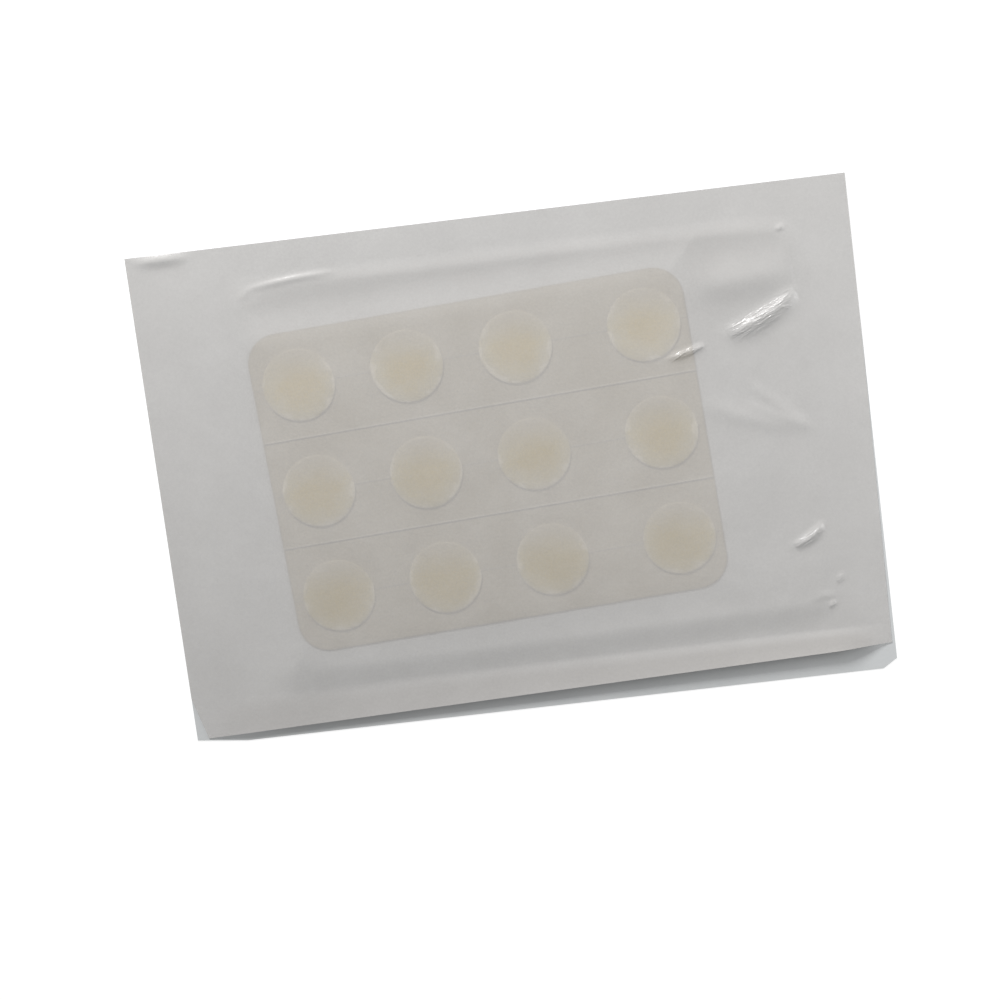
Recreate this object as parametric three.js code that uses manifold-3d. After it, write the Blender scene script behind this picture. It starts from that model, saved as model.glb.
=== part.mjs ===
// A peel pouch with twelve round hydrocolloid blemish patches on one release liner.
// The pouch lies flat on its paper side: X runs along its long side, Y across it, Z up.
// The origin is the middle of the underside. All sizes are in millimetres, angles in degrees.
import * as THREE from 'three';
import { mergeVertices } from 'three/addons/utils/BufferGeometryUtils.js';
import Module from 'manifold-3d';

const wasm = await Module();
wasm.setup();

// Patches: a pad of gel with a bevelled edge, on a backing film that stands out as a thin rim
const PATCH_D = 12;
const PATCH_T = 0.45;
const PATCH_CROWN_D = 7.6;
const PATCH_RIM_W = 0.8;
const PATCH_RIM_T = 0.12;
const PATCH_SEGMENTS = 36;

// Release liner: one card of cells, with a score between rows and a back slit along each row
const COLUMNS = 4;
const ROWS = 3;
const CELL_W = 18;
const CELL_D = 17.8;
const LINER_T = 0.15;
const LINER_CORNER_R = 5;
const LINER_TURN = 3.1;
const SCORE_W = 0.3;
const SCORE_DEPTH = 0.06;
const SLIT_W = 0.2;
const SLIT_DEPTH = 0.03;
const PATCH_SHIFT = -1.35;      // the patches sit this far along from the middle of their cells
const LAST_PATCH_SHIFT = 1.8;   // and those of the last column this far, past their cut tick
const TICK_LENGTH = 2.4;

// Chamber: the room that the film leaves round the liner, and the rise of its walls
const ROOM_LEFT = 3.8;
const ROOM_RIGHT = 18.2;
const ROOM_TOP = 6.2;
const ROOM_BOTTOM = 5.4;
const CHAMBER_CORNER_R = 6;
const WALL_RUN = 2.2;
const LEFT_WALL_RUN = 6;
const FILM_CLEARANCE = 0.3;     // over the crowns of the patches
const RIM_CREST_RISE = 0.45;    // a soft crest runs round the chamber, just inside its walls
const RIM_CREST_IN = 2.1;
const RIM_CREST_HALF = 1.3;
const RIGHT_SLACK = 0.35;       // the film drops this far where no liner holds it up

// Seals and plies
const SEAL_LEFT = 13;
const SEAL_RIGHT = 7.2;
const SEAL_TOP = 4.75;
const SEAL_BOTTOM = 7.95;
const PAPER_T = 0.12;
const FILM_T = 0.08;
const PAPER_CLIP_X = 2;         // right-hand front corner of the paper, cut off
const PAPER_CLIP_Y = 1.3;
const PAPER_TRIM_X = 6.6;       // left-hand front corner, trimmed to a sliver
const PAPER_TRIM_Y = 0.7;

// Peel lip: past the front seal the film is loose, cut short of the paper and lifted off it
const LIP_SHORT_LEFT = 1.1;
const LIP_SHORT_RIGHT = 4.3;
const LIP_SEAL_W = 2;
const LIP_RISE_LEFT = 0.35;
const LIP_RISE_RIGHT = 1.3;
const LIP_END_RUN = 7;          // it comes down to the paper over this length at the side seals
const CORNER_TRIM_W = 2.3;      // the film's left-hand front corner leans in over the paper
const CORNER_TRIM_RUN = 8;

// Folds of the film: ends as shares of the chamber's width and depth, rise and half width
const FOLDS = [
  { name: 'long bright fold', from: [0.835, 0.715], to: [0.985, 0.815], rise: 0.75, half: 1.7 },
  { name: 'small fold at the liner corner', from: [0.735, 0.69], to: [0.825, 0.71], rise: 0.35, half: 1.1 },
  { name: 'upper fan fold', from: [0.775, 0.62], to: [0.975, 0.48], rise: 0.45, half: 1.2 },
  { name: 'middle fan fold', from: [0.79, 0.52], to: [0.975, 0.48], rise: 0.4, half: 1.1 },
  { name: 'lower fan fold', from: [0.81, 0.4], to: [0.975, 0.48], rise: 0.35, half: 1.1 },
  { name: 'short fold at the right-hand wall', from: [0.915, 0.21], to: [0.99, 0.27], rise: 0.6, half: 1.2 },
  { name: 'crease along the front wall', from: [0.62, 0.07], to: [0.97, 0.12], rise: 0.35, half: 1.1 },
];
const PUFF = { at: [0.86, 0.87], rise: 0.45, halfX: 10, halfY: 4 };

// Worked-out places
const turn = THREE.MathUtils.degToRad(LINER_TURN);
const linerW = COLUMNS * CELL_W;
const linerD = ROWS * CELL_D;
const linerReachX = (linerW * Math.cos(turn) + linerD * Math.sin(turn)) / 2;
const linerReachY = (linerW * Math.sin(turn) + linerD * Math.cos(turn)) / 2;
const chamberW = ROOM_LEFT + 2 * linerReachX + ROOM_RIGHT;
const chamberD = ROOM_BOTTOM + 2 * linerReachY + ROOM_TOP;
const pouchW = SEAL_LEFT + chamberW + SEAL_RIGHT;
const pouchD = SEAL_BOTTOM + chamberD + SEAL_TOP;
const left = -pouchW / 2;
const right = pouchW / 2;
const bottom = -pouchD / 2;
const top = pouchD / 2;
const footLeft = left + SEAL_LEFT;
const footRight = right - SEAL_RIGHT;
const footBottom = bottom + SEAL_BOTTOM;
const footTop = top - SEAL_TOP;
const linerX = footLeft + ROOM_LEFT + linerReachX;
const linerY = footBottom + ROOM_BOTTOM + linerReachY;
const linerEnd = linerX + linerReachX;
const chamberRise = LINER_T + PATCH_T + FILM_CLEARANCE;

function smoothstep(value) {
  const t = THREE.MathUtils.clamp(value, 0, 1);
  return t * t * (3 - 2 * t);
}

// Distance in from the foot of the chamber's walls, whose plan has round corners
function depthInChamber(x, y) {
  const beyondX = Math.abs(x - (footLeft + footRight) / 2) - chamberW / 2 + CHAMBER_CORNER_R;
  const beyondY = Math.abs(y - (footBottom + footTop) / 2) - chamberD / 2 + CHAMBER_CORNER_R;
  const outside = Math.hypot(Math.max(beyondX, 0), Math.max(beyondY, 0));
  const inside = Math.min(Math.max(beyondX, beyondY), 0);
  return CHAMBER_CORNER_R - outside - inside;
}

function foldHeight(fold, x, y) {
  const startX = footLeft + fold.from[0] * chamberW;
  const startY = footBottom + fold.from[1] * chamberD;
  const runX = (fold.to[0] - fold.from[0]) * chamberW;
  const runY = (fold.to[1] - fold.from[1]) * chamberD;
  const along = ((x - startX) * runX + (y - startY) * runY) / (runX * runX + runY * runY);
  const t = THREE.MathUtils.clamp(along, 0, 1);
  const away = Math.hypot(x - startX - t * runX, y - startY - t * runY);
  const taper = 0.35 + 0.65 * Math.sin(Math.PI * t);
  return fold.rise * taper * Math.exp(-((away / fold.half) ** 2));
}

function chamberHeight(x, y) {
  const depth = depthInChamber(x, y);
  const leftness = 1 - smoothstep((x - footLeft - LEFT_WALL_RUN) / LEFT_WALL_RUN);
  const run = THREE.MathUtils.lerp(WALL_RUN, LEFT_WALL_RUN, leftness);
  const crest = RIM_CREST_RISE * Math.exp(-(((depth - RIM_CREST_IN) / RIM_CREST_HALF) ** 2));
  const slack = RIGHT_SLACK * smoothstep((x - linerEnd) / (WALL_RUN + RIM_CREST_IN));
  const puffX = (x - footLeft - PUFF.at[0] * chamberW) / PUFF.halfX;
  const puffY = (y - footBottom - PUFF.at[1] * chamberD) / PUFF.halfY;
  const puff = PUFF.rise * Math.exp(-(puffX * puffX) - puffY * puffY);
  const folds = FOLDS.reduce((sum, fold) => sum + foldHeight(fold, x, y), 0);
  return smoothstep(depth / run) * (chamberRise + crest - slack + puff + folds);
}

// Front edge of the film, which slants across the paper
function lipEdge(x) {
  return bottom + THREE.MathUtils.mapLinear(x, left, right, LIP_SHORT_LEFT, LIP_SHORT_RIGHT);
}

function lipHeight(x, y) {
  const seal = footBottom - (LIP_SEAL_W * (footBottom - lipEdge(x))) / SEAL_BOTTOM;
  const t = THREE.MathUtils.clamp((seal - y) / (seal - lipEdge(x)), 0, 1);
  const ends = smoothstep((right - x) / LIP_END_RUN) * smoothstep((x - left) / LIP_END_RUN);
  const rise = THREE.MathUtils.mapLinear(x, left, right, LIP_RISE_LEFT, LIP_RISE_RIGHT);
  return rise * ends * t ** 1.5;
}

// A closed sheet on a grid of stations, placed by one function and lifted by another
function sheetGeometry(stationsX, stationsY, place, underside, thickness) {
  const columns = stationsX.length - 1;
  const rows = stationsY.length - 1;
  const box = new THREE.BoxGeometry(1, 1, 1, columns, rows, 1);
  box.deleteAttribute('normal');
  box.deleteAttribute('uv');
  const sheet = mergeVertices(box);
  const position = sheet.getAttribute('position');
  for (let i = 0; i < position.count; i += 1) {
    const column = Math.round((position.getX(i) + 0.5) * columns);
    const row = Math.round((position.getY(i) + 0.5) * rows);
    const [x, y] = place(stationsX[column], stationsY[row]);
    const over = position.getZ(i) > 0 ? thickness : 0;
    position.setXYZ(i, x, y, underside(x, y) + over);
  }
  sheet.computeVertexNormals();
  return sheet;
}

// Stations through a list of [end, intervals] runs
function stations(start, runs) {
  const values = [start];
  for (const [end, intervals] of runs) {
    const from = values.at(-1);
    for (let i = 1; i <= intervals; i += 1) values.push(THREE.MathUtils.lerp(from, end, i / intervals));
  }
  return values;
}

function frontFilm() {
  const stationsX = stations(left, [
    [footLeft, 3],
    [footLeft + LEFT_WALL_RUN, 4],
    [linerEnd - WALL_RUN, 22],
    [footRight - WALL_RUN, 14],
    [footRight, 3],
    [right, 3],
  ]);
  const stationsY = stations(bottom, [
    [footBottom - LIP_SEAL_W, 3],
    [footBottom, 1],
    [footBottom + WALL_RUN, 3],
    [footTop - WALL_RUN, 30],
    [footTop, 3],
    [top, 1],
  ]);
  const place = (stationX, stationY) => {
    const inFront = Math.max(footBottom - stationY, 0) / SEAL_BOTTOM;
    const y = inFront > 0 ? THREE.MathUtils.lerp(footBottom, lipEdge(stationX), inFront) : stationY;
    const beside = Math.max(footLeft - stationX, 0) / SEAL_LEFT;
    const lean = CORNER_TRIM_W * THREE.MathUtils.clamp((footBottom - y) / CORNER_TRIM_RUN, 0, 1);
    return [stationX + beside * lean, y];
  };
  const underside = (x, y) => PAPER_T + chamberHeight(x, y) + lipHeight(x, y);
  return sheetGeometry(stationsX, stationsY, place, underside, FILM_T);
}

function backPaper() {
  const outline = new THREE.Shape([
    new THREE.Vector2(left, top),
    new THREE.Vector2(left, bottom + PAPER_TRIM_Y),
    new THREE.Vector2(left + PAPER_TRIM_X, bottom),
    new THREE.Vector2(right - PAPER_CLIP_X, bottom),
    new THREE.Vector2(right, bottom + PAPER_CLIP_Y),
    new THREE.Vector2(right, top),
  ]);
  return new THREE.ExtrudeGeometry(outline, { depth: PAPER_T, bevelEnabled: false });
}

function toManifold(geometry) {
  const bare = geometry.clone();
  bare.deleteAttribute('normal');
  bare.deleteAttribute('uv');
  const merged = mergeVertices(bare, 1e-4);
  const vertProperties = new Float32Array(merged.getAttribute('position').array);
  const triVerts = new Uint32Array(merged.index.array);
  return new wasm.Manifold(new wasm.Mesh({ numProp: 3, vertProperties, triVerts }));
}

function toGeometry(solid) {
  const mesh = solid.getMesh();
  const geometry = new THREE.BufferGeometry();
  geometry.setAttribute('position', new THREE.BufferAttribute(new Float32Array(mesh.vertProperties), 3));
  geometry.setIndex(new THREE.BufferAttribute(new Uint32Array(mesh.triVerts), 1));
  geometry.computeVertexNormals();
  return geometry;
}

function roundedRectangle(width, depth, radius) {
  const x = width / 2;
  const y = depth / 2;
  const shape = new THREE.Shape();
  shape.moveTo(x, radius - y);
  shape.lineTo(x, y - radius);
  shape.absarc(x - radius, y - radius, radius, 0, Math.PI / 2);
  shape.lineTo(radius - x, y);
  shape.absarc(radius - x, y - radius, radius, Math.PI / 2, Math.PI);
  shape.lineTo(-x, radius - y);
  shape.absarc(radius - x, radius - y, radius, Math.PI, 1.5 * Math.PI);
  shape.lineTo(x - radius, -y);
  shape.absarc(x - radius, radius - y, radius, 1.5 * Math.PI, 2 * Math.PI);
  return shape;
}

// Vee-shaped cut, this wide at the liner's top face and this deep below it
function linerCut(length, width, depth, x, y, angle = 0) {
  const vee = new THREE.Shape([
    new THREE.Vector2(-width, depth),
    new THREE.Vector2(0, -depth),
    new THREE.Vector2(width, depth),
  ]);
  const cut = new THREE.ExtrudeGeometry(vee, { depth: length, bevelEnabled: false });
  cut.translate(0, 0, -length / 2);
  cut.rotateX(Math.PI / 2);
  cut.rotateZ(Math.PI / 2 + angle);
  cut.translate(x, y, LINER_T);
  return toManifold(cut);
}

function releaseLiner() {
  const outline = roundedRectangle(linerW, linerD, LINER_CORNER_R);
  let liner = toManifold(new THREE.ExtrudeGeometry(outline, {
    depth: LINER_T,
    bevelEnabled: false,
    curveSegments: 8,
  }));
  const through = linerW + 2 * LINER_CORNER_R;
  for (let row = 0; row < ROWS; row += 1) {
    liner = liner.subtract(linerCut(through, SLIT_W, SLIT_DEPTH, 0, patchY(row)));
    if (row > 0) liner = liner.subtract(linerCut(through, SCORE_W, SCORE_DEPTH, 0, patchY(row) + CELL_D / 2));
  }
  const tickX = linerW / 2 - CELL_W;
  const tickY = patchY(ROWS - 1) + (CELL_D + TICK_LENGTH) / 2;
  return toGeometry(liner.subtract(linerCut(TICK_LENGTH, SCORE_W, SCORE_DEPTH, tickX, tickY, Math.PI / 2)));
}

// Half section of a patch, from the middle of its underside round to the middle of its crown
function patchGeometry() {
  const radius = PATCH_D / 2;
  const crown = PATCH_CROWN_D / 2;
  const bevel = radius - PATCH_RIM_W - crown;
  const profile = [
    new THREE.Vector2(0, 0),
    new THREE.Vector2(radius, 0),
    new THREE.Vector2(radius, PATCH_RIM_T),
    new THREE.Vector2(radius - PATCH_RIM_W, PATCH_RIM_T),
    new THREE.Vector2(crown + bevel * 0.4, THREE.MathUtils.lerp(PATCH_RIM_T, PATCH_T, 0.75)),
    new THREE.Vector2(crown, PATCH_T),
    new THREE.Vector2(0, PATCH_T),
  ];
  const patch = new THREE.LatheGeometry(profile, PATCH_SEGMENTS);
  patch.rotateX(Math.PI / 2);
  return patch;
}

function patchX(column) {
  const middle = (column - (COLUMNS - 1) / 2) * CELL_W;
  return middle + (column === COLUMNS - 1 ? LAST_PATCH_SHIFT : PATCH_SHIFT);
}

function patchY(row) {
  return ((ROWS - 1) / 2 - row) * CELL_D;
}

const paperFinish = new THREE.MeshStandardMaterial({ color: 0xd2d0ce, roughness: 0.85, metalness: 0 });
const filmFinish = new THREE.MeshStandardMaterial({
  color: 0xdedcda,
  roughness: 0.25,
  metalness: 0,
  transparent: true,
  opacity: 0.5,
});
const linerFinish = new THREE.MeshStandardMaterial({ color: 0xc4bfb6, roughness: 0.5, metalness: 0 });
const gelFinish = new THREE.MeshStandardMaterial({ color: 0xd3c39c, roughness: 0.45, metalness: 0 });

function namedMesh(name, geometry, finish) {
  const mesh = new THREE.Mesh(geometry, finish.clone());
  mesh.name = name;
  return mesh;
}

const pouch = new THREE.Group();
pouch.add(namedMesh('back_paper', backPaper(), paperFinish));
pouch.add(namedMesh('front_film', frontFilm(), filmFinish));

const card = new THREE.Group();
card.position.set(linerX, linerY, PAPER_T);
card.rotation.z = turn;
card.add(namedMesh('release_liner', releaseLiner(), linerFinish));
for (let row = 0; row < ROWS; row += 1) {
  for (let column = 0; column < COLUMNS; column += 1) {
    const patch = namedMesh(`patch_r${row + 1}c${column + 1}`, patchGeometry(), gelFinish);
    patch.position.set(patchX(column), patchY(row), LINER_T);
    card.add(patch);
  }
}
pouch.add(card);

export default pouch;
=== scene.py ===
"""The looks of a peel pouch that holds a card of hydrocolloid blemish patches, over its CAD frame.

The pouch lies on its paper. X runs along it, Y across it and away from the peel lip, Z up.
"""

import math

import bmesh
import bpy
from mathutils import Matrix, Vector, noise


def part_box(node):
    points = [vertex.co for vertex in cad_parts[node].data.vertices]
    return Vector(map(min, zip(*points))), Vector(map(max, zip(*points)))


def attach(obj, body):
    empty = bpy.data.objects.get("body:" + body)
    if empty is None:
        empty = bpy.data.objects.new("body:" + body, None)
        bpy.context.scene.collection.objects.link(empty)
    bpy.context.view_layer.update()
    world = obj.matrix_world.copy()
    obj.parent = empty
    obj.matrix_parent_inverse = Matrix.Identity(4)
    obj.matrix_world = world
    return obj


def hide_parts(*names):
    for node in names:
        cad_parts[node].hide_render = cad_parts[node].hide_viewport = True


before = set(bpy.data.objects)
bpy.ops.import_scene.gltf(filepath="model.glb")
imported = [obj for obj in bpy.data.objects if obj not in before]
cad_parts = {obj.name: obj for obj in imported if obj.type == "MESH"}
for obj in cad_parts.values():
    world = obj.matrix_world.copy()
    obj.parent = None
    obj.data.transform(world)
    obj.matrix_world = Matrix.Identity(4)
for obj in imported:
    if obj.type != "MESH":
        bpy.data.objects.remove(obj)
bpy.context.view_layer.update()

MM = 0.001

# Places nearer than this are one
TOUCH = 0.001 * MM

# Places taken from the CAD frame
ROWS = 3
COLUMNS = 4
PAPER_LOW, PAPER_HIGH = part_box("back_paper")
LINER_LOW, LINER_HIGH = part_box("release_liner")
PATCH_BOXES = {
    (row, column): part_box(f"patch_r{row}c{column}")
    for row in range(1, ROWS + 1)
    for column in range(1, COLUMNS + 1)
}
LEFT, FRONT = PAPER_LOW.x, PAPER_LOW.y
RIGHT, BACK = PAPER_HIGH.x, PAPER_HIGH.y
POUCH_W = RIGHT - LEFT
POUCH_D = BACK - FRONT
PAPER_T = PAPER_HIGH.z - PAPER_LOW.z


def patch_middle(row, column):
    low, high = PATCH_BOXES[row, column]
    return (low + high) / 2


along_row = patch_middle(2, COLUMNS) - patch_middle(2, 1)
CARD_TURN = math.atan2(along_row.y, along_row.x)
CARD_MIDDLE = (LINER_LOW + LINER_HIGH) / 2
ROW_PITCH = (patch_middle(1, 1) - patch_middle(2, 1)).length
PATCH_R = (PATCH_BOXES[1, 1][1].x - PATCH_BOXES[1, 1][0].x) / 2
PATCH_FOOT = PATCH_BOXES[1, 1][0].z
PATCH_T = PATCH_BOXES[1, 1][1].z - PATCH_FOOT

# Seals and chamber
SEAL_LEFT = 13 * MM
SEAL_RIGHT = 7.2 * MM
SEAL_BACK = 4.75 * MM
SEAL_FRONT = 7.95 * MM
CHAMBER_R = 6 * MM
# Each wall's shade is its share of painted shade in the film's colour, in the room beside the card
WALLS = {
    "left": {"run": 9 * MM, "crest": 0.04 * MM, "in": 8 * MM, "room": 0.26 * MM, "shade": 0.04},
    "right": {"run": 5 * MM, "crest": 0.04 * MM, "in": 4 * MM, "room": 0.28 * MM, "shade": 0.04},
    "front": {"run": 4.8 * MM, "crest": 0.03 * MM, "in": 4.6 * MM, "room": 0.48 * MM, "shade": 0.0},
    "back": {"run": 3.0 * MM, "crest": 0.07 * MM, "in": 2.4 * MM, "room": 0.17 * MM, "shade": 0.3},
}
WALL_TRAITS = ("run", "crest", "in", "room", "shade")
WALL_BLEND = 3.5 * MM
FRONT_WALL_SLANT = 2.2 * MM
CREST_HALF = 1.7 * MM
FILM_OVER_PATCHES = 0.06 * MM
CARD_CLIMB_OUT = 4.4 * MM
CARD_CLIMB_IN = 2.6 * MM

# Slack of the film: height and spacing of its slow and its quick sway
SWAYS = ((0.06 * MM, 13 * MM), (0.015 * MM, 4 * MM))
SWAYS_APART = 10 * MM

# Plies
PAPER_SHOWN_T = 0.1 * MM
SEAL_GAP = 0.005 * MM
FILM_T = 0.08 * MM

# Lip
LIP_SHORT_LEFT = 1.1 * MM
LIP_SHORT_RIGHT = 4.3 * MM
LIP_SEAL_W = 0.8 * MM
LIP_RISE_LEFT = 0.45 * MM
LIP_RISE_RIGHT = 1.6 * MM
LIP_END_RUN = 10 * MM
LIP_CURL = 1.25
# Painted shade in the film's colour over the lip, as a share at its left and right ends
LIP_PAINTED_SHADE_LEFT = 0.25
LIP_PAINTED_SHADE_RIGHT = 0.95
# Width over which the lip's painted shadow on the paper fades
LIP_PAINTED_SHADOW_W = 2.6 * MM

# How far the film is cut back at its left front corner and, from here forward, along its right side
CORNER_TRIM_W = 2.3 * MM
CORNER_TRIM_RUN = 8 * MM
SIDE_TRIM_W = 0.6 * MM
SIDE_TRIM_START = BACK / 2

# The paper's cut corners, along its front edge and up its side edge
RIGHT_CUT = (2 * MM, 1.3 * MM)
LEFT_CUT = (6.6 * MM, 0.7 * MM)

# How far each corner, right or left and back or front, lies from the rectangle's
CORNER_SHIFTS = {
    (0, 0): (-0.1 * MM, -0.2 * MM),
    (1, 0): (0.35 * MM, 0.0),
    (0, 1): (-0.65 * MM, 0.45 * MM),
    (1, 1): (-0.3 * MM, 0.2 * MM),
}

# Liner: its corner, its bare edge, and the slits and score lines across it
LINER_CORNER_R = 5 * MM
LINER_CORNER_STEPS = 10
LINER_EDGE_W = 0.35 * MM
# Share of painted shade along the liner's bare edge
LINER_EDGE_PAINTED_SHADE = 0.3
# Grooves: half width, depth, and share of painted shade at their bottom
SLIT = {"half": 0.18 * MM, "depth": 0.03 * MM, "dark": 0.6}
SCORE = {"half": 0.24 * MM, "depth": 0.06 * MM, "dark": 1.0}
# Share of painted highlight on a groove's far brink
SCORE_PAINTED_HIGHLIGHT = 0.55

# Patches: half section, as shares of the radius and the height
PATCH_SECTION = (
    (0.0, 1.0),
    (0.3, 0.995),
    (0.55, 0.97),
    (0.68, 0.93),
    (0.8, 0.86),
    (0.88, 0.77),
    (0.94, 0.67),
    (0.98, 0.56),
    (1.0, 0.42),
    (1.0, 0.06),
    (0.985, 0.01),
    (0.0, 0.01),
)
PATCH_STEPS = 64
AMBER_OF_ROW = {1: 0.0, 2: 0.32, 3: 0.78}
AMBER_FADE = 3

# Grids of the thin plies: shares of the pouch where a stretch ends, and its cells
FILM_COLUMNS = ((0.11, 12), (0.18, 14), (0.75, 108), (0.93, 90), (1.0, 14))
FILM_ROWS = (
    (0.1, 14),
    (0.16, 16),
    (0.25, 14),
    (0.34, 22),
    (0.66, 44),
    (0.8, 44),
    (0.89, 14),
    (0.94, 18),
    (1.0, 12),
)
PAPER_COLUMNS = ((1.0, 118),)
PAPER_ROWS = ((0.08, 24), (1.0, 76))

FOOT_LEFT = LEFT + SEAL_LEFT
FOOT_RIGHT = RIGHT - SEAL_RIGHT
FOOT_FRONT = FRONT + SEAL_FRONT
FOOT_BACK = BACK - SEAL_BACK
CHAMBER_W = FOOT_RIGHT - FOOT_LEFT
CHAMBER_D = FOOT_BACK - FOOT_FRONT
PLATEAU = PATCH_FOOT + PATCH_T - PAPER_T + FILM_OVER_PATCHES


def fold(start, end, rise, half, bow=0.0, crinkle=0.0, front=1.0):
    """A fold of the film.

    Its ends are shares of the pouch's width and depth. Its rise, half width and bow are in
    millimetres. Front says how much wider its front side is than its back.
    """
    return {
        "start": start,
        "end": end,
        "rise": rise * MM,
        "half": half * MM,
        "bow": bow * MM,
        "crinkle": crinkle,
        "front": front,
    }


FOLDS = {
    "long bright fold": fold((0.816, 0.712), (0.914, 0.781), 0.66, 1.0, bow=-0.8, crinkle=1.0, front=1.9),
    "light band behind it": fold((0.78, 0.81), (0.915, 0.823), 0.68, 3.0),
    "fold at the card's corner": fold((0.734, 0.676), (0.782, 0.695), 0.18, 0.4, crinkle=1.0, front=2.6),
    "upper fan fold": fold((0.834, 0.612), (0.914, 0.509), 0.16, 0.9),
    "middle fan fold": fold((0.768, 0.58), (0.914, 0.509), 0.2, 1.4, bow=-0.6),
    "lower fan fold": fold((0.831, 0.569), (0.914, 0.509), 0.14, 0.7),
    "short bright fold": fold((0.875, 0.272), (0.917, 0.31), 0.36, 0.6, bow=-0.4, crinkle=0.8, front=1.4),
    "bright line behind the card": fold((0.163, 0.911), (0.285, 0.926), 0.24, 0.42, bow=0.3, front=1.6),
    "its curl at the corner": fold((0.153, 0.89), (0.164, 0.912), 0.14, 0.4),
    "speck in the far corner": fold((0.898, 0.905), (0.91, 0.912), 0.24, 0.4),
    "curl of the back edge": fold((0.015, 0.99), (0.085, 0.99), 0.42, 0.6, front=1.6),
    "front crease": fold((0.892, 0.16), (0.926, 0.163), 0.12, 0.45, bow=0.2),
    "first crinkle": fold((0.929, 0.188), (0.937, 0.203), 0.12, 0.35, crinkle=0.5),
    "second crinkle": fold((0.913, 0.14), (0.924, 0.149), 0.12, 0.35, crinkle=0.5),
}

# Section of a fold, in its half widths: where it has died out, and how wide its crinkled strip is
FOLD_OUT = 4
CRINKLE_HALF = 1.3

# Powers that round a fold's section and its taper, and the share of its height left at its ends
FOLD_ROUND = 1.8
FOLD_END_ROUND = 0.7
FOLD_AT_ENDS = 0.15

# Finishes: the span of each noise that is used, and what it is turned into
NOISE_SPAN = (0.3, 0.7)
CLOUD_SPAN = (0.25, 0.75)
FINE_SPAN = (0.35, 0.65)
FILM_VEIL = (0.52, 0.56)
FILM_VEIL_GRAIN = (-0.02, 0.02)
FILM_VEIL_HELD_OFF = 0.25
FILM_ROUGHNESS = (0.18, 0.27)
INNER_VEIL = (0.03, 0.08)
PAPER_FIBRE_SHARE = (0, 0.5)
# Share of painted shadow on the paper at its darkest under the lip
PAPER_PAINTED_SHADOW_SHARE = 0.42
CARD_ROUGHNESS = (0.4, 0.55)
GEL_BLOTCH_REACH = (-0.16, 0.16)
GEL_SPECK_SHARE = (0, 0.18)
# Span and share of the painted shade over the back of each patch
GEL_BACK_SHADE_SPAN = (0.1, 0.9)
GEL_BACK_SHADE_SHARE = (0, 0.95)

# Relief of the faces; the film's three heights are in millimetres
RIPPLE_HEIGHT = 0.03
FILM_GRAIN_HEIGHT = 0.004
CRINKLE_HEIGHT = 0.46
CRINKLE_TURN = math.radians(24)
CRINKLE_DRAWN_OUT = 5
PAPER_RELIEF = 0.02 * MM
CARD_RELIEF = 0.01 * MM
GEL_RELIEF = 0.02 * MM

# Colours
MILK = ((0.665, 0.643, 0.625), (0.705, 0.685, 0.668))
# Painted shade for the film where it stands off the paper, over the lip and in the chamber
MILK_PAINTED_SHADE = (0.45, 0.435, 0.42)
INNER_FACE = (0.62, 0.61, 0.6)
PAPER = ((0.555, 0.57, 0.575), (0.585, 0.597, 0.6))
PAPER_FIBRE = (0.605, 0.618, 0.622)
# Painted shadow on the paper under and before the lip
PAPER_PAINTED_SHADOW = (0.12, 0.12, 0.12)
CARD = ((0.395, 0.355, 0.265), (0.45, 0.41, 0.32))
# Painted shade for the liner's edge and grooves, and painted highlight for the grooves' far brinks
CARD_PAINTED_SHADE = (0.04, 0.035, 0.03)
CARD_PAINTED_HIGHLIGHT = (0.8, 0.77, 0.7)
# The gel from its middle out; the last colour, at the rim, is painted light passed through the gel
GEL_RAMP_WITH_PAINTED_RIM_LIGHT = (
    (0.0, (0.50, 0.375, 0.04)),
    (0.4, (0.50, 0.385, 0.08)),
    (0.65, (0.52, 0.44, 0.20)),
    (0.92, (0.53, 0.475, 0.30)),
    (1.0, (0.70, 0.65, 0.52)),
)
GEL_SPECK = (0.30, 0.24, 0.1)
GEL_AMBER = (0.40, 0.30, 0.02)
# Painted shade over the back of each patch, in the liner's tone
GEL_BACK_PAINTED_SHADE = (0.41, 0.365, 0.27)
FLOOR_MATTE = (0.8, 0.8, 0.8)
FLOOR_DIM = (0.3, 0.3, 0.3)
WHITE = (1, 1, 1)

# Camera and lamps; only a lamp with glints is seen in the film's gloss
CAMERA_AT = Vector((17.7, 54.0, 390.0)) * MM
CAMERA_AIM = Vector((-3.19, -5.38, 0.0)) * MM
CAMERA_ROLL = math.radians(-7.08)
CAMERA_LENS = 86.4
CAMERA_SENSOR = 36
WINDOW = {"from": -18, "height": 28, "distance": 0.46, "size": 0.13}
LAMPS = {
    "window_light": {**WINDOW, "power": 1.5, "glints": False},
    "window_glint": {**WINDOW, "power": 1.5, "glints": True},
    "side_light": {"from": 90, "height": 26, "distance": 0.21, "size": 0.12, "power": 0.16, "glints": True},
}
SKY_LEVEL = 0.21

# Floor; its glow grows to white between the two distances from the pouch's middle
FLOOR_SIZE = 3.0
FLOOR_DROP = 0.02 * MM
FLOOR_GLOW = (0.8, 1)
FLOOR_GLOW_SPAN = (0.1, 0.3)


def clamp(value):
    return min(max(value, 0.0), 1.0)


def smoothstep(value):
    t = clamp(value)
    return t * t * (3 - 2 * t)


def mix(low, high, share):
    return low + (high - low) * share


# Forms of the film

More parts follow.
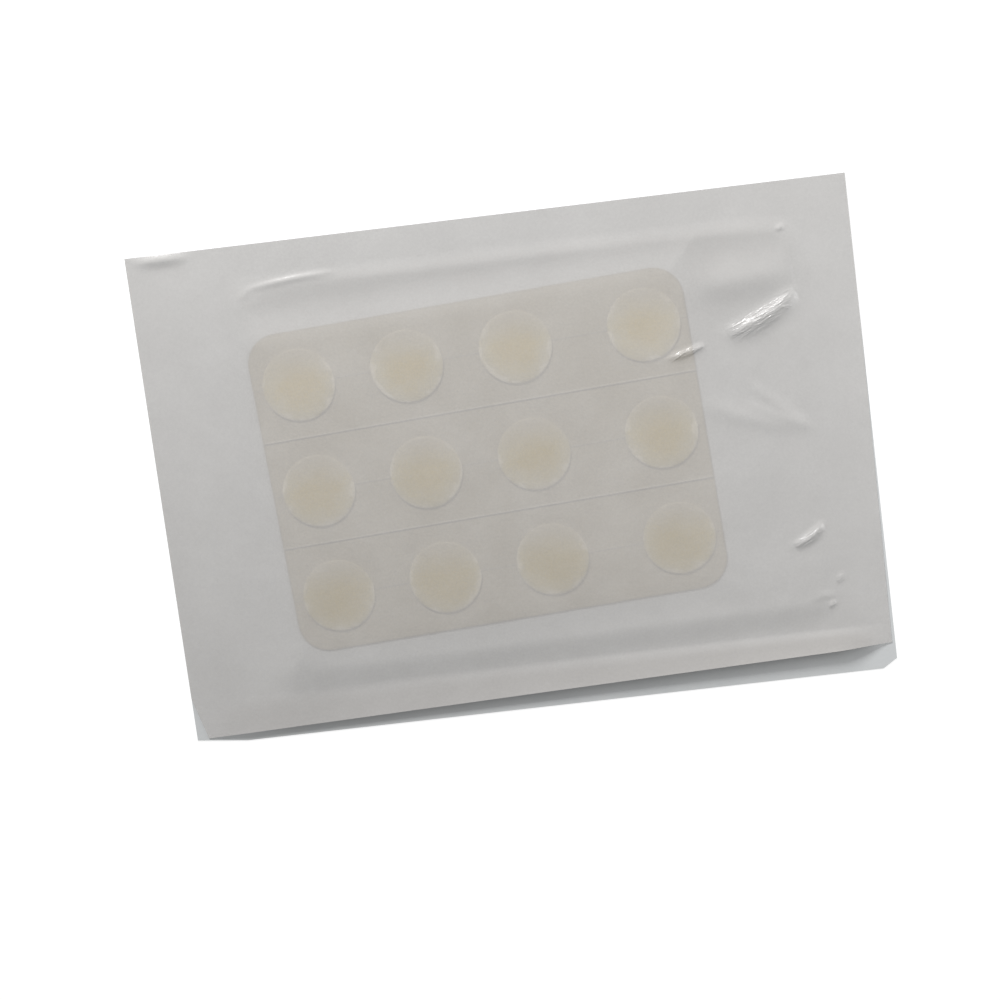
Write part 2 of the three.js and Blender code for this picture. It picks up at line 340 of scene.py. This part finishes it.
def depth_in_chamber(x, y):
    """Distance in from the foot of the chamber's walls; its front wall slants out to the left."""
    to_front = clamp(((FOOT_FRONT + FOOT_BACK) / 2 - y) / (CHAMBER_D / 2))
    y += FRONT_WALL_SLANT * to_front * clamp((FOOT_RIGHT - x) / CHAMBER_W)
    beyond_x = abs(x - (FOOT_LEFT + FOOT_RIGHT) / 2) - CHAMBER_W / 2 + CHAMBER_R
    beyond_y = abs(y - (FOOT_FRONT + FOOT_BACK) / 2) - CHAMBER_D / 2 + CHAMBER_R
    outside = math.hypot(max(beyond_x, 0), max(beyond_y, 0))
    return CHAMBER_R - outside - min(max(beyond_x, beyond_y), 0)


def nearest_wall(x, y):
    """Traits of the nearest walls, blended from side to side round the corners."""
    gaps = {
        "left": x - FOOT_LEFT,
        "right": FOOT_RIGHT - x,
        "front": y - FOOT_FRONT,
        "back": FOOT_BACK - y,
    }
    weights = {side: math.exp(-max(gap, 0) / WALL_BLEND) for side, gap in gaps.items()}
    whole = sum(weights.values())
    return [sum(weights[side] * WALLS[side][trait] for side in gaps) / whole for trait in WALL_TRAITS]


def card_size():
    """The liner's own width and depth, from its turned box."""
    c, s = math.cos(CARD_TURN), math.sin(CARD_TURN)
    reach_x = (LINER_HIGH.x - LINER_LOW.x) / 2 - LINER_CORNER_R
    reach_y = (LINER_HIGH.y - LINER_LOW.y) / 2 - LINER_CORNER_R
    scale = c * c - s * s
    half_w = (reach_x * c - reach_y * s) / scale
    half_d = (reach_y * c - reach_x * s) / scale
    return 2 * (half_w + LINER_CORNER_R), 2 * (half_d + LINER_CORNER_R)


CARD_W, CARD_D = card_size()


def depth_in_card(x, y):
    """Distance in from the edge of the turned liner, less than nothing outside it."""
    turned = Matrix.Rotation(-CARD_TURN, 2) @ Vector((x - CARD_MIDDLE.x, y - CARD_MIDDLE.y))
    return min(CARD_W / 2 - abs(turned.x), CARD_D / 2 - abs(turned.y))


def fold_reach(crease, x, y):
    """How far a place is from a fold's bowed line, and the share along it.

    The distance is first in half widths of that side of the fold, then in those of its back.
    """
    (u0, v0), (u1, v1) = crease["start"], crease["end"]
    start_x, start_y = mix(LEFT, RIGHT, u0), mix(FRONT, BACK, v0)
    run_x, run_y = (u1 - u0) * POUCH_W, (v1 - v0) * POUCH_D
    length = math.hypot(run_x, run_y)
    along = ((x - start_x) * run_x + (y - start_y) * run_y) / length**2
    t = clamp(along)
    bowed = 4 * t * (1 - t) * crease["bow"]
    across = ((y - start_y) * run_x - (x - start_x) * run_y) / length - bowed
    beyond = (along - t) * length
    half = crease["half"] * (crease["front"] if across < 0 else 1)
    reach = math.hypot(across / half, beyond / crease["half"])
    return reach, math.hypot(across, beyond) / crease["half"], t


def fold_lift(x, y):
    """Rise of all folds at a place, and how crinkled the film is there."""
    lift = crinkle = 0.0
    for crease in FOLDS.values():
        reach, from_crest, t = fold_reach(crease, x, y)
        if reach < FOLD_OUT:
            taper = mix(FOLD_AT_ENDS, 1, math.sin(math.pi * t) ** FOLD_END_ROUND)
            lift += crease["rise"] * taper * math.exp(-(reach**FOLD_ROUND))
            crinkle += crease["crinkle"] * taper * math.exp(-((from_crest / CRINKLE_HALF) ** 2))
    return lift, crinkle


def film_sway(x, y):
    """Rise and fall of the slack film."""
    sway = 0.0
    for level, (height, spacing) in enumerate(SWAYS):
        sway += height * noise.noise(Vector((x, y, level * SWAYS_APART)) / spacing)
    return sway


def chamber_lift(x, y):
    """Rise of the film over the paper inside the chamber, and its share of painted shade."""
    depth = depth_in_chamber(x, y)
    if depth <= 0:
        return 0.0, 0.0
    run, crest_rise, crest_in, room, shade = nearest_wall(x, y)
    crest = crest_rise * math.exp(-(((depth - crest_in) / CREST_HALF) ** 2))
    over_card = smoothstep((depth_in_card(x, y) + CARD_CLIMB_OUT) / (CARD_CLIMB_OUT + CARD_CLIMB_IN))
    up_wall = smoothstep(depth / run)
    rise = up_wall * (mix(room, PLATEAU, over_card) + crest + film_sway(x, y))
    return rise, shade * up_wall * (1 - over_card)


def lip_edge(x):
    return FRONT + mix(LIP_SHORT_LEFT, LIP_SHORT_RIGHT, (x - LEFT) / POUCH_W)


def lip_lift(x, y):
    """Rise of the loose lip, and how far across it the place is."""
    edge = lip_edge(x)
    seal = FOOT_FRONT - LIP_SEAL_W * (FOOT_FRONT - edge) / SEAL_FRONT
    t = clamp((seal - y) / (seal - edge))
    ends = smoothstep((RIGHT - x) / LIP_END_RUN) * smoothstep((x - LEFT) / LIP_END_RUN)
    return mix(LIP_RISE_LEFT, LIP_RISE_RIGHT, (x - LEFT) / POUCH_W) * ends * t**LIP_CURL, t * ends


def film_place(share_x, share_y):
    """Plan place on the film of a share of its width and depth, with its slanting front edge."""
    x = mix(LEFT, RIGHT, share_x)
    y = mix(FRONT, BACK, share_y)
    if y < FOOT_FRONT:
        y = mix(FOOT_FRONT, lip_edge(x), (FOOT_FRONT - y) / SEAL_FRONT)
    if x < FOOT_LEFT:
        lean = clamp((FOOT_FRONT - y) / CORNER_TRIM_RUN)
        x += CORNER_TRIM_W * lean * (FOOT_LEFT - x) / SEAL_LEFT
    if x > FOOT_RIGHT:
        lean = clamp((SIDE_TRIM_START - y) / (SIDE_TRIM_START - FRONT))
        x -= SIDE_TRIM_W * lean * (x - FOOT_RIGHT) / SEAL_RIGHT
    return x, y


def settle(x, y):
    """A place on the pouch as it was cut, a little out of square."""
    u, v = (x - LEFT) / POUCH_W, (y - FRONT) / POUCH_D
    for (right, back), (shift_x, shift_y) in CORNER_SHIFTS.items():
        share = (u if right else 1 - u) * (v if back else 1 - v)
        x += share * shift_x
        y += share * shift_y
    return x, y


# Mesh helpers

def stations(stretches):
    """Shares from 0 to 1, spaced evenly within each stretch."""
    shares = [0.0]
    for end, cells in stretches:
        start = shares[-1]
        shares += [mix(start, end, (i + 1) / cells) for i in range(cells)]
    return shares


def share_grid(column_stretches, row_stretches):
    """A flat grid from 0 to 1 whose lines lie at the stations of both lists of stretches."""
    columns, rows = stations(column_stretches), stations(row_stretches)
    maker = bmesh.new()
    bmesh.ops.create_grid(maker, x_segments=len(columns) - 1, y_segments=len(rows) - 1, size=0.5)
    for vert in maker.verts:
        column = round((vert.co.x + 0.5) * (len(columns) - 1))
        row = round((vert.co.y + 0.5) * (len(rows) - 1))
        vert.co = (columns[column], rows[row], 0)
    return maker


def cut_through(maker, place, normal, clear=False):
    """Cuts a mesh along a plane, and with clear takes away what lies on the normal's side."""
    bmesh.ops.bisect_plane(
        maker,
        geom=maker.verts[:] + maker.edges[:] + maker.faces[:],
        plane_co=place,
        plane_no=normal,
        clear_outer=clear,
    )


def sharpen_boundary(maker):
    for edge in maker.edges:
        edge.smooth = not edge.is_boundary


def finished_object(name, maker, materials, smooth=True):
    mesh = bpy.data.meshes.new(name)
    maker.to_mesh(mesh)
    maker.free()
    for polygon in mesh.polygons:
        polygon.use_smooth = smooth
    piece = bpy.data.objects.new(name, mesh)
    bpy.context.scene.collection.objects.link(piece)
    for material in materials:
        mesh.materials.append(material)
    return piece


def add_thickness(piece, thickness, inner_material=0):
    """Gives a sheet its thickness above it; its under face takes the material of that number."""
    solid = piece.modifiers.new("thickness", "SOLIDIFY")
    solid.thickness = thickness
    solid.offset = 1
    solid.use_even_offset = False
    solid.material_offset = inner_material
    solid.material_offset_rim = 0


# Node helpers

VALUE = "NodeSocketFloat"
COLOR = "NodeSocketColor"
VECTOR = "NodeSocketVector"


def new_material(name):
    material = bpy.data.materials.new(name)
    material.use_nodes = True
    nodes = material.node_tree.nodes
    nodes.clear()
    output = nodes.new("ShaderNodeOutputMaterial")
    surface = nodes.new("ShaderNodeBsdfPrincipled")
    material.node_tree.links.new(surface.outputs["BSDF"], output.inputs["Surface"])
    return material, surface


def object_coordinates(tree):
    return tree.nodes.new("ShaderNodeTexCoord").outputs["Object"]


def attribute(tree, name):
    node = tree.nodes.new("ShaderNodeAttribute")
    node.attribute_name = name
    return node.outputs["Fac"]


def remap(tree, value, given, made):
    """Moves a value from one span to another, and holds it there."""
    node = tree.nodes.new("ShaderNodeMapRange")
    for socket, number in zip(("From Min", "From Max", "To Min", "To Max"), (*given, *made)):
        node.inputs[socket].default_value = number
    tree.links.new(value, node.inputs["Value"])
    return node.outputs["Result"]


def math_node(tree, operation, first, second):
    node = tree.nodes.new("ShaderNodeMath")
    node.operation = operation
    for socket, value in zip(node.inputs, (first, second)):
        if isinstance(value, (int, float)):
            socket.default_value = value
        else:
            tree.links.new(value, socket)
    return node.outputs["Value"]


def add(tree, first, second):
    return math_node(tree, "ADD", first, second)


def multiply(tree, first, second):
    return math_node(tree, "MULTIPLY", first, second)


def mix_color(tree, share, first, second):
    """Mixes two colours, each a socket or three numbers."""
    node = tree.nodes.new("ShaderNodeMix")
    node.data_type = "RGBA"
    tree.links.new(share, node.inputs[0])
    for socket, value in ((node.inputs[6], first), (node.inputs[7], second)):
        if isinstance(value, tuple):
            socket.default_value = (*value, 1)
        else:
            tree.links.new(value, socket)
    return node.outputs[2]


def bump(tree, height, distance):
    """Relief of a height; the distance is a number or a socket."""
    node = tree.nodes.new("ShaderNodeBump")
    tree.links.new(height, node.inputs["Height"])
    if isinstance(distance, float):
        node.inputs["Distance"].default_value = distance
    else:
        tree.links.new(distance, node.inputs["Distance"])
    return node.outputs["Normal"]


def new_group(name, inputs, outputs):
    """A shader node group with named sockets, and its two end nodes."""
    group = bpy.data.node_groups.new(name, "ShaderNodeTree")
    for direction, sockets in (("INPUT", inputs), ("OUTPUT", outputs)):
        for socket, kind in sockets.items():
            group.interface.new_socket(socket, in_out=direction, socket_type=kind)
    given = group.nodes.new("NodeGroupInput").outputs
    made = group.nodes.new("NodeGroupOutput").inputs
    return group, given, made


def linked_noise(tree, given, sockets):
    """A noise whose place and named sockets come from a group's inputs."""
    node = tree.nodes.new("ShaderNodeTexNoise")
    tree.links.new(given["Where"], node.inputs["Vector"])
    for socket in sockets:
        tree.links.new(given[socket], node.inputs[socket])
    return node.outputs["Fac"]


def mottle_group():
    """Soft patches between two colours."""
    inputs = {"Where": VECTOR, "Scale": VALUE, "Detail": VALUE, "Roughness": VALUE}
    inputs |= {"Low": VALUE, "High": VALUE, "First": COLOR, "Second": COLOR}
    group, given, made = new_group("mottle", inputs, {"Color": COLOR, "Noise": VALUE})
    patches = linked_noise(group, given, ("Scale", "Detail", "Roughness"))
    share = group.nodes.new("ShaderNodeMapRange")
    group.links.new(patches, share.inputs["Value"])
    group.links.new(given["Low"], share.inputs["From Min"])
    group.links.new(given["High"], share.inputs["From Max"])
    mottled = mix_color(group, share.outputs["Result"], given["First"], given["Second"])
    group.links.new(mottled, made["Color"])
    group.links.new(patches, made["Noise"])
    return group


def grain_group():
    """Fine grain, as a value and as a relief of the given depth."""
    inputs = {"Where": VECTOR, "Scale": VALUE, "Detail": VALUE, "Roughness": VALUE}
    inputs |= {"Distortion": VALUE, "Depth": VALUE}
    group, given, made = new_group("grain", inputs, {"Noise": VALUE, "Normal": VECTOR})
    grains = linked_noise(group, given, ("Scale", "Detail", "Roughness", "Distortion"))
    group.links.new(grains, made["Noise"])
    group.links.new(bump(group, grains, given["Depth"]), made["Normal"])
    return group


MOTTLE = mottle_group()
GRAIN = grain_group()


def use_group(tree, group, where, values):
    """Puts a group into a material, with the values of its sockets."""
    node = tree.nodes.new("ShaderNodeGroup")
    node.node_tree = group
    tree.links.new(where, node.inputs["Where"])
    for socket, value in values.items():
        node.inputs[socket].default_value = (*value, 1) if isinstance(value, tuple) else value
    return node.outputs


def mottle(tree, where, colors, **values):
    values["Low"], values["High"] = NOISE_SPAN
    values["First"], values["Second"] = colors
    return use_group(tree, MOTTLE, where, values)


def grain(tree, where, **values):
    return use_group(tree, GRAIN, where, values)


# Materials

def crinkle_strands(tree, where):
    """Strands drawn out along the folds, as high as the film is crinkled."""
    turned = tree.nodes.new("ShaderNodeMapping")
    turned.vector_type = "TEXTURE"
    turned.inputs["Rotation"].default_value = (0, 0, CRINKLE_TURN)
    turned.inputs["Scale"].default_value = (CRINKLE_DRAWN_OUT, 1, 1)
    tree.links.new(where, turned.inputs["Vector"])
    strands = grain(tree, turned.outputs["Vector"], Scale=2300, Detail=2, Roughness=0.5, Distortion=0.6)
    return multiply(tree, strands["Noise"], multiply(tree, attribute(tree, "crinkle"), CRINKLE_HEIGHT))


def film_material():
    material, surface = new_material("milky_laminate")
    tree = material.node_tree
    where = object_coordinates(tree)
    veil_and_painted_shade = attribute(tree, "veil_and_painted_shade")
    milk = mottle(tree, where, MILK, Scale=90, Detail=4, Roughness=0.55)
    fine = grain(tree, where, Scale=2600, Detail=2, Roughness=0.6)["Noise"]
    ripple = grain(tree, where, Scale=700, Detail=3, Roughness=0.6, Distortion=0.4)["Noise"]
    # Painted shade in the film's colour where it stands off the paper
    tree.links.new(mix_color(tree, veil_and_painted_shade, milk["Color"], MILK_PAINTED_SHADE), surface.inputs["Base Color"])
    veil = remap(tree, milk["Noise"], CLOUD_SPAN, FILM_VEIL)
    veil = add(tree, veil, remap(tree, fine, NOISE_SPAN, FILM_VEIL_GRAIN))
    veil = add(tree, veil, multiply(tree, veil_and_painted_shade, FILM_VEIL_HELD_OFF))
    tree.links.new(veil, surface.inputs["Alpha"])
    tree.links.new(remap(tree, fine, NOISE_SPAN, FILM_ROUGHNESS), surface.inputs["Roughness"])
    relief = add(tree, multiply(tree, ripple, RIPPLE_HEIGHT), multiply(tree, fine, FILM_GRAIN_HEIGHT))
    relief = add(tree, relief, crinkle_strands(tree, where))
    tree.links.new(bump(tree, relief, MM), surface.inputs["Normal"])
    surface.inputs["IOR"].default_value = 1.5
    surface.inputs["Specular IOR Level"].default_value = 0.9
    return material


def film_inner_material():
    material, surface = new_material("laminate_inner_face")
    tree = material.node_tree
    haze = grain(tree, object_coordinates(tree), Scale=300, Detail=3, Roughness=0.5)["Noise"]
    tree.links.new(remap(tree, haze, NOISE_SPAN, INNER_VEIL), surface.inputs["Alpha"])
    surface.inputs["Base Color"].default_value = (*INNER_FACE, 1)
    surface.inputs["Specular IOR Level"].default_value = 0.2
    surface.inputs["Roughness"].default_value = 0.5
    return material


def paper_material():
    material, surface = new_material("pouch_paper")
    tree = material.node_tree
    where = object_coordinates(tree)
    clouds = mottle(tree, where, PAPER, Scale=120, Detail=3, Roughness=0.5)
    fibre = grain(tree, where, Scale=1800, Detail=5, Roughness=0.7, Distortion=1.2, Depth=PAPER_RELIEF)
    light = remap(tree, fibre["Noise"], FINE_SPAN, PAPER_FIBRE_SHARE)
    shade = mix_color(tree, light, clouds["Color"], PAPER_FIBRE)
    # Painted shadow of the lip on the paper
    painted_shadow_share = multiply(tree, attribute(tree, "lip_painted_shadow_mask"), PAPER_PAINTED_SHADOW_SHARE)
    shade = mix_color(tree, painted_shadow_share, shade, PAPER_PAINTED_SHADOW)
    tree.links.new(shade, surface.inputs["Base Color"])
    tree.links.new(fibre["Normal"], surface.inputs["Normal"])
    surface.inputs["Roughness"].default_value = 0.85
    surface.inputs["Specular IOR Level"].default_value = 0.25
    return material


def liner_material():
    material, surface = new_material("liner_card")
    tree = material.node_tree
    where = object_coordinates(tree)
    card = mottle(tree, where, CARD, Scale=160, Detail=4, Roughness=0.6)
    fine = grain(tree, where, Scale=3000, Detail=2, Roughness=0.6, Depth=CARD_RELIEF)
    # Painted shade on the edge and in the grooves, painted highlight on the grooves' brinks
    shade = mix_color(tree, attribute(tree, "painted_edge_and_groove_shade"), card["Color"], CARD_PAINTED_SHADE)
    shade = mix_color(tree, attribute(tree, "painted_brink_highlight"), shade, CARD_PAINTED_HIGHLIGHT)
    tree.links.new(shade, surface.inputs["Base Color"])
    tree.links.new(remap(tree, fine["Noise"], NOISE_SPAN, CARD_ROUGHNESS), surface.inputs["Roughness"])
    tree.links.new(fine["Normal"], surface.inputs["Normal"])
    return material


def gel_ramp(tree, reach):
    """Colours of the gel from its middle out, with painted light at the rim."""
    ramp = tree.nodes.new("ShaderNodeValToRGB")
    elements = ramp.color_ramp.elements
    while len(elements) < len(GEL_RAMP_WITH_PAINTED_RIM_LIGHT):
        elements.new(0.5)
    for element, (place, color) in zip(elements, GEL_RAMP_WITH_PAINTED_RIM_LIGHT):
        element.position = place
        element.color = (*color, 1)
    tree.links.new(reach, ramp.inputs["Fac"])
    return ramp.outputs["Color"]


def gel_material():
    material, surface = new_material("hydrocolloid_gel")
    tree = material.node_tree
    where = object_coordinates(tree)
    blotch = grain(tree, where, Scale=420, Detail=3, Roughness=0.6)["Noise"]
    fine = grain(tree, where, Scale=2400, Detail=3, Roughness=0.6, Depth=GEL_RELIEF)
    reach = add(tree, attribute(tree, "from_middle"), remap(tree, blotch, NOISE_SPAN, GEL_BLOTCH_REACH))
    specks = remap(tree, fine["Noise"], FINE_SPAN, GEL_SPECK_SHARE)
    shade = mix_color(tree, specks, gel_ramp(tree, reach), GEL_SPECK)
    shade = mix_color(tree, attribute(tree, "amber"), shade, GEL_AMBER)
    # Painted shade over the back of each patch, fading it into the liner's tone
    back_painted_shade = remap(tree, attribute(tree, "to_back"), GEL_BACK_SHADE_SPAN, GEL_BACK_SHADE_SHARE)
    shade = mix_color(tree, back_painted_shade, shade, GEL_BACK_PAINTED_SHADE)
    tree.links.new(shade, surface.inputs["Base Color"])
    tree.links.new(fine["Normal"], surface.inputs["Normal"])
    surface.inputs["Roughness"].default_value = 0.4
    return material


# Pieces

def make_film(outer, inner):
    maker = share_grid(FILM_COLUMNS, FILM_ROWS)
    crinkle = maker.verts.layers.float.new("crinkle")
    veil_and_painted_shade = maker.verts.layers.float.new("veil_and_painted_shade")
    for vert in maker.verts:
        x, y = film_place(vert.co.x, vert.co.y)
        folds, vert[crinkle] = fold_lift(x, y)
        lip, across_lip = lip_lift(x, y)
        room, room_painted_shade = chamber_lift(x, y)
        lip_painted_shade = mix(LIP_PAINTED_SHADE_LEFT, LIP_PAINTED_SHADE_RIGHT, (x - LEFT) / POUCH_W)
        # Painted shade over the lip and in the chamber; it also thickens the veil
        vert[veil_and_painted_shade] = max(lip_painted_shade * smoothstep(2 * across_lip), room_painted_shade)
        height = PAPER_T + SEAL_GAP + room + folds + lip
        vert.co = (*settle(x, y), height)
    sharpen_boundary(maker)
    film = finished_object("milky_film", maker, [outer, inner])
    add_thickness(film, FILM_T, inner_material=1)
    return film


def painted_shadow_of_lip(x, y):
    """How much painted shadow of the lip the paper's colour takes."""
    ends = smoothstep((RIGHT - x) / LIP_END_RUN) * smoothstep((x - LEFT) / (2 * LIP_END_RUN))
    inward = 1 - smoothstep((y - FOOT_FRONT) / LIP_PAINTED_SHADOW_W + 1)
    return ends * inward * smoothstep((y - lip_edge(x)) / LIP_PAINTED_SHADOW_W + 1)


def make_paper(material):
    maker = share_grid(PAPER_COLUMNS, PAPER_ROWS)
    lip_painted_shadow_mask = maker.verts.layers.float.new("lip_painted_shadow_mask")
    for vert in maker.verts:
        x, y = mix(LEFT, RIGHT, vert.co.x), mix(FRONT, BACK, vert.co.y)
        vert[lip_painted_shadow_mask] = painted_shadow_of_lip(x, y)
        vert.co = (*settle(x, y), 0)
    for side, outward, (along, up) in ((RIGHT, 1, RIGHT_CUT), (LEFT, -1, LEFT_CUT)):
        cut_through(maker, (side, FRONT + up, 0), (outward * up, -along, 0), clear=True)
    sharpen_boundary(maker)
    paper = finished_object("white_paper_back", maker, [material])
    add_thickness(paper, PAPER_SHOWN_T)
    return paper


def cut_groove(maker, place, groove, shade, light):
    """A groove along the liner, with painted shade at its bottom and a painted highlight on its far brink.
    """
    for step in (-2, -1, 0, 1, 2):
        cut_through(maker, (0, place + step * groove["half"], 0), (0, 1, 0))
    for vert in maker.verts:
        if abs(vert.co.y - place) < TOUCH:
            vert.co.z -= groove["depth"]
            vert[shade] = max(vert[shade], groove["dark"])
        if abs(vert.co.y - place - groove["half"]) < TOUCH:
            vert[light] = SCORE_PAINTED_HIGHLIGHT * groove["dark"]


def make_liner(material):
    maker = bmesh.new()
    bmesh.ops.create_grid(maker, x_segments=1, y_segments=1, size=0.5)
    bmesh.ops.scale(maker, vec=(CARD_W, CARD_D, 1), verts=maker.verts)
    bmesh.ops.bevel(
        maker,
        geom=maker.verts[:],
        offset=LINER_CORNER_R,
        affect="VERTICES",
        segments=LINER_CORNER_STEPS,
        profile=0.5,
        material=-1,
    )
    # Painted shade along the liner's bare edge
    shade = maker.verts.layers.float.new("painted_edge_and_groove_shade")
    for vert in maker.verts:
        vert[shade] = LINER_EDGE_PAINTED_SHADE
    bmesh.ops.inset_region(maker, faces=maker.faces[:], thickness=LINER_EDGE_W, use_boundary=True)
    for vert in maker.verts:
        if not any(edge.is_boundary for edge in vert.link_edges):
            vert[shade] = 0.0
    light = maker.verts.layers.float.new("painted_brink_highlight")
    for row in (-1, 0, 1):
        cut_groove(maker, row * ROW_PITCH, SLIT, shade, light)
    for side in (-1, 1):
        cut_groove(maker, side * ROW_PITCH / 2, SCORE, shade, light)
    turn = Matrix.Rotation(CARD_TURN, 4, "Z")
    place = Matrix.Translation((CARD_MIDDLE.x, CARD_MIDDLE.y, LINER_LOW.z))
    bmesh.ops.transform(maker, matrix=place @ turn, verts=maker.verts)
    liner = finished_object("liner_sheet", maker, [material], smooth=False)
    add_thickness(liner, LINER_HIGH.z - LINER_LOW.z)
    return liner


def make_patch(row, column, material):
    """A pad of gel with a bevelled edge on a thin rim, spun from its half section."""
    middle = patch_middle(row, column)
    maker = bmesh.new()
    from_middle = maker.verts.layers.float.new("from_middle")
    to_back = maker.verts.layers.float.new("to_back")
    amber = maker.verts.layers.float.new("amber")
    verts = []
    for reach, rise in PATCH_SECTION:
        vert = maker.verts.new((reach * PATCH_R, 0, PATCH_FOOT + rise * PATCH_T))
        vert[from_middle] = reach
        verts.append(vert)
    edges = [maker.edges.new(pair) for pair in zip(verts, verts[1:])]
    bmesh.ops.spin(
        maker,
        geom=verts + edges,
        cent=(0, 0, 0),
        axis=(0, 0, 1),
        angle=2 * math.pi,
        steps=PATCH_STEPS,
        use_merge=True,
    )
    bmesh.ops.remove_doubles(maker, verts=maker.verts, dist=TOUCH)
    bmesh.ops.recalc_face_normals(maker, faces=maker.faces)
    for vert in maker.verts:
        # Share toward the back, where the patch takes painted shade
        vert[to_back] = max(vert.co.y / PATCH_R, 0.0)
        vert[amber] = AMBER_OF_ROW[row] * (1 - vert[from_middle] ** AMBER_FADE)
    bmesh.ops.translate(maker, vec=(middle.x, middle.y, 0), verts=maker.verts)
    return finished_object(f"gel_patch_r{row}c{column}", maker, [material])


def dress(piece, node):
    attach(piece, "root")
    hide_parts(node)


def dress_pouch():
    dress(make_film(film_material(), film_inner_material()), "front_film")
    dress(make_paper(paper_material()), "back_paper")
    dress(make_liner(liner_material()), "release_liner")
    gel = gel_material()
    for row, column in PATCH_BOXES:
        dress(make_patch(row, column, gel), f"patch_r{row}c{column}")


# Camera, lamps and stage

def make_camera():
    camera = bpy.data.objects.new("photo_camera", bpy.data.cameras.new("photo_camera"))
    camera.data.lens = CAMERA_LENS
    camera.data.sensor_width = CAMERA_SENSOR
    camera.data.clip_start = 0.01
    camera.data.clip_end = 10
    backward = (CAMERA_AT - CAMERA_AIM).normalized()
    sideways = Vector((0, 1, 0)).cross(backward).normalized()
    upright = Matrix((sideways, backward.cross(sideways), backward)).transposed().to_4x4()
    roll = Matrix.Rotation(CAMERA_ROLL, 4, "Z")
    camera.matrix_world = Matrix.Translation(CAMERA_AT) @ upright @ roll
    bpy.context.scene.collection.objects.link(camera)
    bpy.context.scene.camera = camera


def make_lamps():
    """Each lamp faces the pouch; it stands at a compass angle from +Y and a height in degrees."""
    for name, traits in LAMPS.items():
        lamp = bpy.data.lights.new(name, "AREA")
        lamp.shape = "SQUARE"
        lamp.size = traits["size"]
        lamp.energy = traits["power"]
        around, height = math.radians(traits["from"]), math.radians(traits["height"])
        level = math.cos(height)
        away = Vector((math.sin(around) * level, math.cos(around) * level, math.sin(height)))
        turn = (-away).to_track_quat("-Z", "Y").to_matrix().to_4x4()
        place = bpy.data.objects.new(name, lamp)
        place.matrix_world = Matrix.Translation(away * traits["distance"]) @ turn
        place.visible_glossy = traits["glints"]
        bpy.context.scene.collection.objects.link(place)


def make_sky():
    """A white sky to the camera, and a dim one to the pouch."""
    world = bpy.data.worlds.new("soft_studio")
    bpy.context.scene.world = world
    world.use_nodes = True
    tree = world.node_tree
    background = tree.nodes["Background"]
    background.inputs["Color"].default_value = (*WHITE, 1)
    camera_only = tree.nodes.new("ShaderNodeLightPath").outputs["Is Camera Ray"]
    level = add(tree, SKY_LEVEL, multiply(tree, camera_only, 1 - SKY_LEVEL))
    tree.links.new(level, background.inputs["Strength"])


def seen_directly(tree):
    """One where a camera, glossy or transmission ray looks, and nothing for the light on the pouch."""
    path = tree.nodes.new("ShaderNodeLightPath")
    seen = math_node(tree, "MAXIMUM", path.outputs["Is Camera Ray"], path.outputs["Is Glossy Ray"])
    return math_node(tree, "MAXIMUM", seen, path.outputs["Is Transmission Ray"])


def matte_shader(tree, color):
    node = tree.nodes.new("ShaderNodeBsdfDiffuse")
    node.inputs["Color"].default_value = (*color, 1)
    return node.outputs["BSDF"]


def floor_glow(tree):
    """A glow that grows to white away from the pouch."""
    away = tree.nodes.new("ShaderNodeVectorMath")
    away.operation = "LENGTH"
    tree.links.new(object_coordinates(tree), away.inputs[0])
    glow = tree.nodes.new("ShaderNodeEmission")
    strength = remap(tree, away.outputs["Value"], FLOOR_GLOW_SPAN, FLOOR_GLOW)
    tree.links.new(strength, glow.inputs["Strength"])
    return glow.outputs["Emission"]


def floor_material():
    """Plain matte for the light on the pouch; seen directly, a glow that still shows the shadow."""
    material = bpy.data.materials.new("pale_floor")
    material.use_nodes = True
    tree = material.node_tree
    tree.nodes.clear()
    both = tree.nodes.new("ShaderNodeAddShader")
    tree.links.new(matte_shader(tree, FLOOR_DIM), both.inputs[0])
    tree.links.new(floor_glow(tree), both.inputs[1])
    choose = tree.nodes.new("ShaderNodeMixShader")
    tree.links.new(seen_directly(tree), choose.inputs["Fac"])
    tree.links.new(matte_shader(tree, FLOOR_MATTE), choose.inputs[1])
    tree.links.new(both.outputs["Shader"], choose.inputs[2])
    output = tree.nodes.new("ShaderNodeOutputMaterial")
    tree.links.new(choose.outputs["Shader"], output.inputs["Surface"])
    return material


def make_floor():
    maker = bmesh.new()
    bmesh.ops.create_grid(maker, x_segments=1, y_segments=1, size=FLOOR_SIZE / 2)
    bmesh.ops.translate(maker, vec=(0, 0, -FLOOR_DROP), verts=maker.verts)
    finished_object("floor", maker, [floor_material()])


make_camera()
make_lamps()
make_sky()
make_floor()
dress_pouch()
bpy.context.scene.view_settings.view_transform = "Standard"
